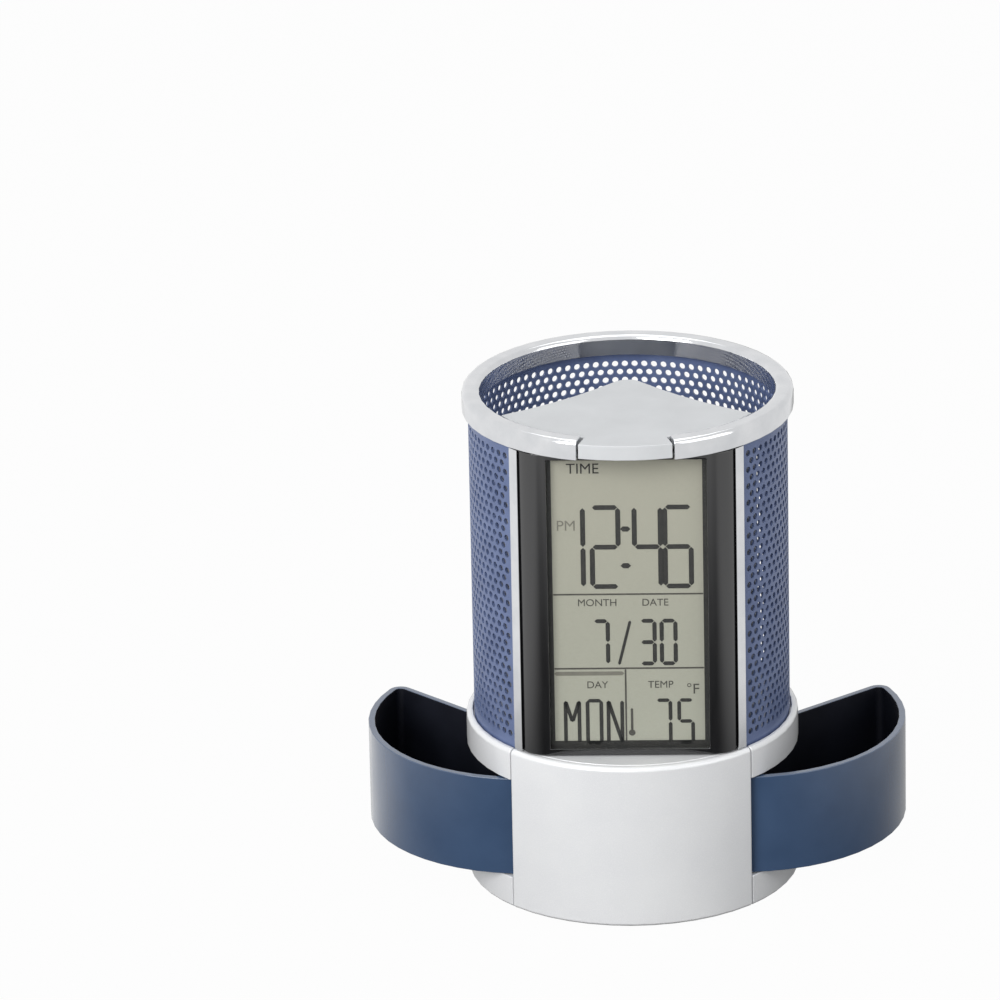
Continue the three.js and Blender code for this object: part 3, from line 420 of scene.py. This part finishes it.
def circuit():
    """Green solder mask with paler copper runs under it."""
    made = Finish("solder_mask", roughness=0.4)
    runs = made.node("ShaderNodeTexBrick", offset=0.35)
    runs.inputs["Scale"].default_value = 1 / (9 * MM)
    runs.inputs["Mortar Size"].default_value = 0.05
    runs.inputs["Color1"].default_value = srgb(24, 84, 54)
    runs.inputs["Color2"].default_value = srgb(27, 92, 58)
    runs.inputs["Mortar"].default_value = srgb(58, 130, 84)
    made.feed(runs.inputs["Vector"], made.place)
    made.colour(runs.outputs["Color"])
    made.bump((runs.outputs["Fac"], 0.2, 0.03 * MM))
    return made.material


def jacket():
    """The cell's printed sleeve: plain green with a pale band towards the nib."""
    made = Finish("cell_sleeve", metallic=0.3)
    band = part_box("battery_cell")[1].y - 9 * MM
    beyond = made.span(made.coordinates()["Y"], 0, 1, band, band + 0.2 * MM)
    made.colour(made.mix(beyond, srgb(46, 107, 79), srgb(200, 196, 170)))
    made.roughness(made.span(made.noise(2 * MM, 3), 0.3, 0.42))
    return made.material


def make_finishes():
    """The finish of each slot. Moulded plastic: two colours, size of grain, roughness and worn colour."""
    return {
        "silver_plastic": silver_paint(),
        "grey_plastic": moulded(
            "pale_grey_plastic", srgb(206, 208, 210), srgb(214, 216, 218), 0.28 * MM, 0.5,
            worn=srgb(226, 227, 228)),
        "white_plastic": moulded(
            "white_plastic_satin", srgb(222, 221, 214), srgb(231, 230, 224), 0.3 * MM, 0.5),
        "blue_plastic": moulded(
            "slate_blue_plastic", srgb(56, 77, 107), srgb(60, 82, 113), 0.32 * MM, 0.2,
            worn=srgb(98, 117, 143), coat_weight=0.8, coat_roughness=0.15),
        "key_grey": moulded(
            "dark_key_plastic", srgb(54, 57, 62), srgb(63, 66, 71), 0.3 * MM, 0.5,
            worn=srgb(96, 99, 104)),
        "blue_mesh": sheet_paint(),
        "chrome_trim": plated("bright_plating", srgb(208, 210, 213), srgb(222, 223, 225), 0.06),
        "steel": plated("plain_steel", srgb(172, 175, 179), srgb(190, 192, 195), 0.2),
        "contact_brass": plated("spring_brass", srgb(196, 164, 88), srgb(212, 182, 110), 0.22),
        "black_gloss": black_gloss(),
        "black_epoxy": moulded("black_epoxy_dome", srgb(20, 20, 22), srgb(30, 30, 32), 0.5 * MM, 0.42),
        "black_rubber": moulded("black_rubber_grain", srgb(24, 24, 25), srgb(34, 34, 35), 0.4 * MM, 0.82),
        "board_green": circuit(),
        "cell_jacket": jacket(),
        "clear_lens": clear_lens(),
        "lcd_glass": lcd_ground(),
    }


# Solids

def round_edges(obj, width, join_facets):
    """Joins the solid's faces again, rounds its sharp edges and shades it smoothly."""
    obj.data.polygons.foreach_set("use_smooth", [True] * len(obj.data.polygons))
    weld = obj.modifiers.new("join_faces", "WELD")
    weld.merge_threshold = WELD_REACH
    if join_facets:
        flat = obj.modifiers.new("flat_faces", "DECIMATE")
        flat.decimate_type = "DISSOLVE"
        flat.angle_limit = FLAT_ANGLE
        flat.delimit = {"MATERIAL"}
    bevel = obj.modifiers.new("rounded_edges", "BEVEL")
    bevel.width = width * MM
    bevel.segments = 2
    bevel.limit_method = "ANGLE"
    bevel.angle_limit = SHARP_ANGLE
    bevel.use_clamp_overlap = False
    bevel.miter_outer = "MITER_ARC"
    normals = obj.modifiers.new("even_shading", "WEIGHTED_NORMAL")
    normals.weight = 60


def dress_nodes(finishes):
    for name, obj in nodes.items():
        slot = obj.data.materials[0].name
        obj.data.materials[0] = finishes[slot]
        if name not in GLASS_PLATES:
            round_edges(obj, FINER_EDGES.get(name, EDGE), name not in GROOVED)


def shade_drawer_inside(name, painted_inside_shade):
    """Gives the inside faces of a drawer a near-black navy: painted shade that stands in for the shade
    falling inside it.
    """
    mesh = nodes[name].data
    mesh.materials.append(painted_inside_shade)
    points = [vertex.co for vertex in mesh.vertices]
    for face in mesh.polygons:
        reach = max(point.dot(face.normal) for point in points) - face.center.dot(face.normal)
        if reach > SHADED_INSIDE_REACH:
            face.material_index = 1


# Perforated sleeve

class RolledSheet:
    """Sheet metal that is laid out flat, u across and v up, and rolled round the cup's axis."""

    def __init__(self, radius, start, foot, length, height):
        self.outer = radius
        self.inner = radius - SHEET_GAUGE
        self.start = start
        self.foot = foot
        self.length = length
        self.height = height
        self.mesh = bmesh.new()
        self.shared = {}

    def vertex(self, spot, radius):
        """The vertex at a spot, or on the sheet's edge if the spot lies beyond it."""
        u = min(max(spot[0], 0), self.length)
        v = min(max(spot[1], 0), self.height)
        key = (round(u / SAME_SPOT), round(v / SAME_SPOT), radius)
        if key not in self.shared:
            angle = self.start + u / self.outer
            place = (radius * math.sin(angle), -radius * math.cos(angle), self.foot + v)
            self.shared[key] = self.mesh.verts.new(place)
        return self.shared[key]

    def face(self, *corners):
        """A face whose corners may coincide where the sheet's edge cuts it."""
        self.mesh.faces.new(list(dict.fromkeys(corners)))

    def both_sides(self, *spots):
        """The same face on the outside of the sheet and, turned round, on the inside."""
        self.face(*(self.vertex(spot, self.outer) for spot in spots))
        self.face(*(self.vertex(spot, self.inner) for spot in reversed(spots)))

    def wall(self, first, second):
        """The face through the sheet's thickness between two spots."""
        outside = [self.vertex(spot, self.outer) for spot in (first, second)]
        inside = [self.vertex(spot, self.inner) for spot in (second, first)]
        self.face(*outside, *inside)

    def holed_cell(self, hexagon, rim):
        """A hexagon of the net round a hole, with two sides of the hole's rim to each of its own."""
        for i in range(6):
            corner, next_corner = hexagon[i], hexagon[(i + 1) % 6]
            first, middle, last = (rim[(2 * i + j) % HOLE_SIDES] for j in range(3))
            self.both_sides(first, corner, middle)
            self.both_sides(corner, next_corner, middle)
            self.both_sides(next_corner, last, middle)
            self.wall(first, middle)
            self.wall(middle, last)

    def close_edge(self):
        """Joins the outside and the inside along the sheet's own edge."""
        behind = {}
        for (u, v, radius), vertex in self.shared.items():
            if radius == self.outer:
                behind[vertex] = self.shared[u, v, self.inner]
        for edge in [e for e in self.mesh.edges if e.is_boundary]:
            first, second = edge.verts
            if first in behind:
                self.face(first, second, behind[second], behind[first])


def spots_round(u, v, radius, count, stretch=1):
    """Spots evenly round a middle, with the first at 30 degrees, drawn out upwards by the stretch."""
    turns = [math.radians(30) + 2 * math.pi * i / count for i in range(count)]
    return [(u + radius * math.cos(turn), v + radius * math.sin(turn) * stretch) for turn in turns]


def perforated_sleeve():
    """Sheet with round holes in a hexagonal net, rolled to the cup's radius."""
    low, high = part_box("mesh_sleeve")
    cup = nodes["mesh_sleeve"]
    cup_radius = max((cup.matrix_world @ corner.co).to_2d().length for corner in cup.data.vertices)
    outer = cup_radius - SHEET_INSET
    start = math.acos(-low.y / cup_radius) + SHEET_INSET / outer
    length = (2 * math.pi - 2 * start) * outer
    height = high.z - low.z
    columns = round(length / HOLE_PITCH)
    pitch = length / columns
    regular_step = pitch * math.sqrt(3) / 2
    rows = round(height / regular_step)
    step = height / rows
    margin = PLAIN_EDGE + HOLE_RADIUS
    sheet = RolledSheet(outer, start, low.z, length, height)
    for row in range(rows + 1):
        odd = row % 2
        for column in range(columns + 1 - odd):
            u = (column + odd / 2) * pitch
            v = row * step
            hexagon = spots_round(u, v, pitch / math.sqrt(3), 6, step / regular_step)
            if margin < u < length - margin and margin < v < height - margin:
                sheet.holed_cell(hexagon, spots_round(u, v, HOLE_RADIUS, HOLE_SIDES))
            else:
                sheet.both_sides(*hexagon)
    sheet.close_edge()
    obj = add_closed_mesh("perforated_sleeve", sheet.mesh)
    obj.data.polygons.foreach_set("use_smooth", [True] * len(obj.data.polygons))
    split = obj.modifiers.new("crisp_rims", "EDGE_SPLIT")
    split.split_angle = CRISP_ANGLE
    return obj


# LCD

def bar(start, end, width):
    """A segment with pointed ends, as outline points."""
    start, end = Vector(start), Vector(end)
    along = (end - start).normalized()
    across = Vector((-along.y, along.x)) * width / 2
    tip = along * width / 2
    return [start, start + tip - across, end - tip - across, end, end - tip + across, start + tip + across]


def digit(sign, left, bottom, height, width, stroke):
    """The bars of a seven-segment digit whose outside has the given corner and size."""
    x0, x1 = left + stroke / 2, left + width - stroke / 2
    z0, z1 = bottom + stroke / 2, bottom + height - stroke / 2
    middle = (z0 + z1) / 2
    gap = SEGMENT_GAP
    ends = {
        "a": ((x0 + gap, z1), (x1 - gap, z1)),
        "b": ((x1, z1 - gap), (x1, middle + gap)),
        "c": ((x1, middle - gap), (x1, z0 + gap)),
        "d": ((x0 + gap, z0), (x1 - gap, z0)),
        "e": ((x0, middle - gap), (x0, z0 + gap)),
        "f": ((x0, z1 - gap), (x0, middle + gap)),
        "g": ((x0 + gap, middle), (x1 - gap, middle)),
    }
    return [bar(*ends[name], stroke) for name in SEVEN[sign]]


def letter(sign, left, bottom, height, width, stroke):
    """The bars of a capital M, N or O."""
    x0, x1 = left + stroke / 2, left + width - stroke / 2
    z0, z1 = bottom + stroke / 2, bottom + height - stroke / 2
    middle = ((x0 + x1) / 2, (z0 + z1) / 2)
    sides = [bar((x0, z0), (x0, z1), stroke), bar((x1, z0), (x1, z1), stroke)]
    if sign == "M":
        return sides + [bar((x0, z1), middle, stroke), bar((x1, z1), middle, stroke)]
    if sign == "N":
        return sides + [bar((x0, z1), (x1, z0), stroke)]
    return sides + [bar((x0, z0), (x1, z0), stroke), bar((x0, z1), (x1, z1), stroke)]


def row_of(draw, signs, row):
    """The bars of all signs of a row, each drawn as a digit or a letter."""
    return [outline for sign, left in signs for outline in draw(sign, left, **row)]


def disc(middle, radius, sides=20):
    """A round spot, as outline points."""
    turns = [2 * math.pi * i / sides for i in range(sides)]
    return [Vector(middle) + radius * Vector((math.cos(turn), math.sin(turn))) for turn in turns]


def border():
    """The black border of the glass, as four mitred strips; the strip below is also painted shade at the
    window's foot.
    """
    low, high = (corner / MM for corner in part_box("lcd_panel"))
    outer = [(low.x, low.z), (high.x, low.z), (high.x, high.z), (low.x, high.z)]
    left, right = low.x + BORDER_SIDE, high.x - BORDER_SIDE
    bottom, top = low.z + BORDER_BELOW, high.z - BORDER_ABOVE
    inner = [(left, bottom), (right, bottom), (right, top), (left, top)]
    return [[outer[i - 1], outer[i], inner[i], inner[i - 1]] for i in range(4)]


def fix_to_glass(obj, material):
    obj.data.materials.append(material)
    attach(obj, "stand")


def print_on_glass(name, outlines, material):
    """Raises outlines by a hair from the LCD's front. Outlines that share an edge become one."""
    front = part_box("lcd_panel")[0].y
    mesh = bmesh.new()
    for outline in outlines:
        mesh.faces.new([mesh.verts.new((p[0] * MM, front, p[1] * MM)) for p in outline])
    bmesh.ops.remove_doubles(mesh, verts=mesh.verts, dist=0.001 * MM)
    lifted = bmesh.ops.extrude_face_region(mesh, geom=mesh.faces[:])["geom"]
    raised = [v for v in lifted if isinstance(v, bmesh.types.BMVert)]
    bmesh.ops.translate(mesh, vec=(0, -INK_DEPTH * MM, 0), verts=raised)
    fix_to_glass(add_closed_mesh(name, mesh), material)


def write_on_glass(name, words, left, bottom, size, material):
    """A small word in plain capitals on the LCD's front."""
    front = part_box("lcd_panel")[0].y
    data = bpy.data.curves.new(name, "FONT")
    data.body = words
    data.size = size * MM / CAPITAL_SHARE
    data.extrude = INK_DEPTH * MM / 2
    obj = add_object(name, data)
    obj.rotation_euler = (math.radians(90), 0, 0)
    obj.location = (left * MM, front - INK_DEPTH * MM / 2, bottom * MM)
    fix_to_glass(obj, material)


def draw_lcd():
    black = ink("lcd_black", srgb(24, 24, 23), srgb(38, 37, 34))
    grey = ink("lcd_label", srgb(62, 61, 56), srgb(78, 76, 70))
    faint = ink("lcd_faint", srgb(112, 111, 101), srgb(124, 122, 111))
    inks = {"black": black, "grey": grey, "faint": faint}

    time = row_of(digit, TIME_SIGNS, TIME_ROW)
    print_on_glass("lcd_time", time + [bar(*stroke) for stroke in COLON], black)
    date = row_of(digit, DATE_SIGNS, DATE_ROW)
    print_on_glass("lcd_date", date + [bar(*SLASH)], black)
    day = row_of(letter, DAY_SIGNS, DAY_ROW)
    temperature = row_of(digit, TEMPERATURE_SIGNS, DAY_ROW)
    print_on_glass("lcd_day_and_temperature", day + temperature, black)
    print_on_glass("lcd_thermometer", [bar(*THERMOMETER_STEM), disc(*THERMOMETER_BULB)], grey)
    # the border's lower strip is also painted shade, standing in for the shade at the foot of the window
    print_on_glass("lcd_border", border(), black)

    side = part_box("lcd_panel")[1].x / MM - BORDER_SIDE
    rules = [bar((-side, z), (side, z), RULE_STROKE) for z in LEVEL_RULES]
    print_on_glass("lcd_rules", rules + [bar(*UPRIGHT_RULE)], grey)
    band = bar((-side, DAY_BAND_LEVEL), (DAY_BAND_END, DAY_BAND_LEVEL), DAY_BAND_STROKE)
    print_on_glass("lcd_day_band", [band], faint)

    for name, (words, left, bottom, size, shade) in WORDS.items():
        write_on_glass(name, words, left, bottom, size, inks[shade])


# Studio

def add_lamp(name, place, size, power):
    data = bpy.data.lights.new(name, "AREA")
    data.shape = "SQUARE"
    data.size = size
    data.energy = power
    lamp = add_object(name, data)
    lamp.location = place
    lamp.rotation_euler = (AIM - Vector(place)).to_track_quat("-Z", "Y").to_euler()


class Studio:
    """Node helpers for the world and the floor."""

    def __init__(self, owner):
        owner.use_nodes = True
        self.tree = owner.node_tree
        self.path = self.tree.nodes.new("ShaderNodeLightPath").outputs

    def combine(self, operation, first, second):
        """The result of a sum, product or the like of two numbers or outputs."""
        node = self.tree.nodes.new("ShaderNodeMath")
        node.operation = operation
        for socket, value in zip(node.inputs, (first, second)):
            if isinstance(value, bpy.types.NodeSocket):
                self.tree.links.new(value, socket)
            else:
                socket.default_value = value
        return node.outputs["Value"]

    def span(self, source, ends, low, high):
        """Goes smoothly from low to high as the source goes from one end to the other."""
        node = self.tree.nodes.new("ShaderNodeMapRange")
        node.interpolation_type = "SMOOTHSTEP"
        for socket, value in zip(("From Min", "From Max", "To Min", "To Max"), (*ends, low, high)):
            node.inputs[socket].default_value = value
        self.tree.links.new(source, node.inputs["Value"])
        return node.outputs["Result"]

    def split(self, vector):
        node = self.tree.nodes.new("ShaderNodeSeparateXYZ")
        self.tree.links.new(vector, node.inputs["Vector"])
        return node.outputs

    def reflected(self):
        """1 for rays that left a glossy or clear surface."""
        return self.combine("MAXIMUM", self.path["Is Glossy Ray"], self.path["Is Transmission Ray"])

    def mix(self, factor, first, second, output):
        node = self.tree.nodes.new("ShaderNodeMixShader")
        self.tree.links.new(factor, node.inputs["Fac"])
        self.tree.links.new(first, node.inputs[1])
        self.tree.links.new(second, node.inputs[2])
        self.tree.links.new(node.outputs["Shader"], self.tree.nodes[output].inputs["Surface"])


def build_world():
    """White where it is seen, brighter on the left in reflections, and dimmer as a fill light."""
    world = bpy.data.worlds.new("white_studio")
    bpy.context.scene.world = world
    studio = Studio(world)
    fill = studio.tree.nodes["Background"]
    fill.inputs["Color"].default_value = FILL_COLOUR
    fill.inputs["Strength"].default_value = FILL_STRENGTH
    seen = studio.tree.nodes.new("ShaderNodeBackground")
    seen.inputs["Color"].default_value = (1, 1, 1, 1)
    direction = studio.tree.nodes.new("ShaderNodeTexCoord").outputs["Generated"]
    sideways = studio.span(studio.split(direction)["X"], SKY_SIDES, LEFT_GLOSS, RIGHT_GLOSS)
    strength = studio.combine("MAXIMUM", studio.path["Is Camera Ray"], sideways)
    studio.tree.links.new(strength, seen.inputs["Strength"])
    rays = studio.combine("MAXIMUM", studio.path["Is Camera Ray"], studio.reflected())
    studio.mix(rays, fill.outputs["Background"], seen.outputs["Background"], "World Output")


def floor_gloss(studio):
    """How bright the floor is in reflections: dark along the strip in front, lighter on the left."""
    place = studio.split(studio.tree.nodes.new("ShaderNodeNewGeometry").outputs["Position"])
    aside = studio.span(studio.combine("ABSOLUTE", place["X"], 0), STRIP_SIDES, STRIP_GLOSS, 1)
    ahead = studio.span(place["Y"], STRIP_ENDS, STRIP_GLOSS, 1)
    rear = studio.span(place["X"], REAR_SIDES, *REAR_GLOSS)
    behind = studio.combine("MULTIPLY", studio.span(place["Y"], STRIP_REAR, STRIP_GLOSS, 1), rear)
    around = studio.combine("MAXIMUM", studio.combine("MAXIMUM", aside, ahead), behind)
    sideways = studio.span(place["X"], FLOOR_SIDES, LEFT_GLOSS, RIGHT_GLOSS)
    return studio.combine("MULTIPLY", around, sideways)


def build_floor():
    """A white floor that keeps a light shadow."""
    quarters = ((-1, -1), (1, -1), (1, 1), (-1, 1))
    corners = [(x * FLOOR_HALF, y * FLOOR_HALF, FLOOR_LEVEL) for x, y in quarters]
    data = bpy.data.meshes.new("floor")
    data.from_pydata(corners, [], [(0, 1, 2, 3)])
    floor = add_object("floor", data)
    material = bpy.data.materials.new("white_floor")
    data.materials.append(material)
    studio = Studio(material)
    matt = studio.tree.nodes["Principled BSDF"]
    matt.inputs["Base Color"].default_value = FLOOR_GREY
    matt.inputs["Roughness"].default_value = FLOOR_ROUGHNESS
    matt.inputs["Specular IOR Level"].default_value = 0
    white = studio.tree.nodes.new("ShaderNodeEmission")
    strength = studio.combine("MAXIMUM", studio.path["Is Camera Ray"], floor_gloss(studio))
    studio.tree.links.new(strength, white.inputs["Strength"])
    camera_share = studio.combine("MULTIPLY", studio.path["Is Camera Ray"], FLOOR_WHITE)
    share = studio.combine("MAXIMUM", camera_share, studio.reflected())
    studio.mix(share, matt.outputs["BSDF"], white.outputs["Emission"], "Material Output")


# Scene

bpy.context.scene.view_settings.view_transform = "Standard"
place_camera()
finishes = make_finishes()
dress_nodes(finishes)
# Painted shade: a near-black navy on the drawers' inside faces, in place of the shade that falls inside
# them.
painted_inside_shade = moulded(
    "navy_painted_shade", srgb(8, 10, 19), srgb(12, 15, 26), 0.35 * MM, 0.6, specular_ior_level=0.25)
shade_drawer_inside("left_drawer", painted_inside_shade)
shade_drawer_inside("right_drawer", painted_inside_shade)

sleeve = perforated_sleeve()
sleeve.data.materials.append(finishes["blue_mesh"])
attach(sleeve, "stand")
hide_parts("mesh_sleeve")

draw_lcd()

build_world()
build_floor()
for lamp_name, (lamp_place, lamp_size, lamp_power) in LAMPS.items():
    add_lamp(lamp_name, lamp_place, lamp_size, lamp_power)
